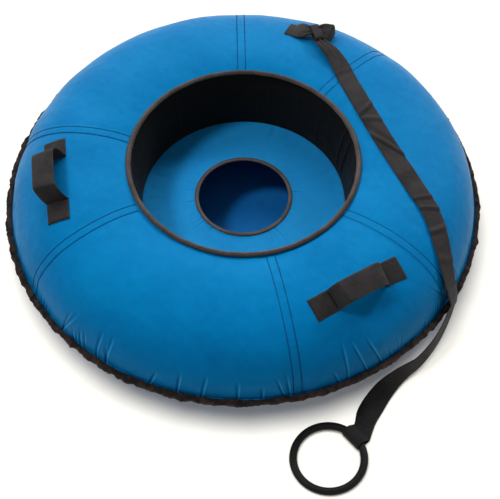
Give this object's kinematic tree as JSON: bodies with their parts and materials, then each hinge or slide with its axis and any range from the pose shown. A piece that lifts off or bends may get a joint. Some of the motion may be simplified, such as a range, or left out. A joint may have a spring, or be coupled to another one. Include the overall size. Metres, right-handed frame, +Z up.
{
  "type": "snow tube",
  "caption": "Round cloth-covered snow tube with a deep bound seat well, webbing handles and a long tow strap that ends in a ring.",
  "frame": {"origin": "on the floor under the middle of the tube", "axes": "+Z up, +Y to the back, where the tow handle is, +X to the right"},
  "size_m": [1.1186, 1.275, 0.3013],
  "materials": {
    "blue_cloth": "satin coated nylon",
    "webbing": "woven polypropylene",
    "wall_cloth": "matt coated nylon",
    "rubber": "matt",
    "brass": "turned",
    "black_plastic": "moulded, glossy"
  },
  "bodies": {
    "tube": {"top_panel_1": "blue_cloth", "top_panel_2": "blue_cloth", "top_panel_3": "blue_cloth", "top_panel_4": "blue_cloth", "top_panel_5": "blue_cloth", "top_panel_6": "blue_cloth", "bottom_cover": "blue_cloth", "seat_disc": "blue_cloth", "mouth_binding": "webbing", "seat_hole_binding": "webbing", "hem_binding": "webbing", "left_handle": "webbing", "right_handle": "webbing", "tow_handle": "webbing", "strap_hitch": "webbing", "tow_strap": "webbing", "strap_ring_eye": "webbing", "inner_wall": "wall_cloth", "inner_tube": "rubber", "valve_base": "rubber", "valve_stem": "brass", "valve_core": "brass"},
    "ring": {"tow_ring": "black_plastic"},
    "cap": {"valve_cap": "black_plastic"},
    "pin": {"valve_pin": "brass"}
  },
  "joints": [
    {"name": "ring_tip", "type": "hinge", "parent": "tube", "child": "ring", "pos_m": [0.24712, -0.58187, 0.0143], "axis": [-0.6521, 0.7581, 0], "range_deg": [0, 78]},
    {"name": "cap_off", "type": "slide", "parent": "tube", "child": "cap", "axis": [0, 1, 0], "range_m": [0, 0.03]},
    {"name": "pin_press", "type": "slide", "parent": "tube", "child": "pin", "axis": [0, -1, 0], "range_m": [0, 0.0012]}
  ]
}
